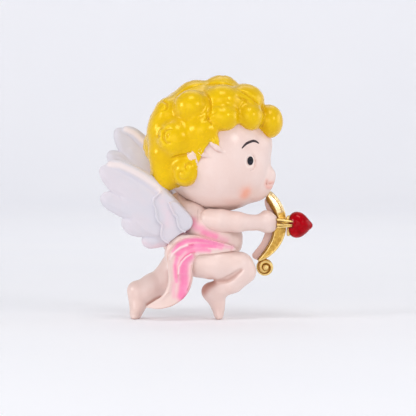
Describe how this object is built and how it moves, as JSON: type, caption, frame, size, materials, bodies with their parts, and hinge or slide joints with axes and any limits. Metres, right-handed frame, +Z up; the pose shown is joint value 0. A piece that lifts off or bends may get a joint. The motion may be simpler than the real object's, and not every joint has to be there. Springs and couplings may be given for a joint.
{
  "type": "cupid figurine",
  "caption": "Kneeling-run cupid ornament in painted cast resin, aiming a bow with a heart-tipped arrow, standing on the tips of its toes.",
  "frame": {"origin": "on the resting plane, under the middle of the whole figure's bounding box", "axes": "+X the way the figure faces, +Y its left side, +Z up"},
  "size_m": [0.0688, 0.0382, 0.08],
  "materials": {
    "flesh": "satin flesh paint on cast resin",
    "hair": "glossy yellow enamel on cast resin",
    "wing": "satin white paint on cast resin",
    "sash": "airbrushed pink over flesh, satin",
    "gold": "metallic gold paint on cast resin",
    "heart": "glossy red enamel on cast resin",
    "steel": "drawn wire"
  },
  "bodies": {
    "root": {"head": "flesh", "hair": "hair", "torso": "flesh", "right_arm": "flesh", "left_arm": "flesh", "right_leg": "flesh", "left_leg": "flesh", "right_wing": "wing", "left_wing": "wing", "sash": "sash", "bow": "gold", "arrow_shaft": "gold", "arrow_heart": "heart", "neck_dowel": "steel", "right_wing_pin": "steel", "left_wing_pin": "steel"}
  },
  "joints": []
}
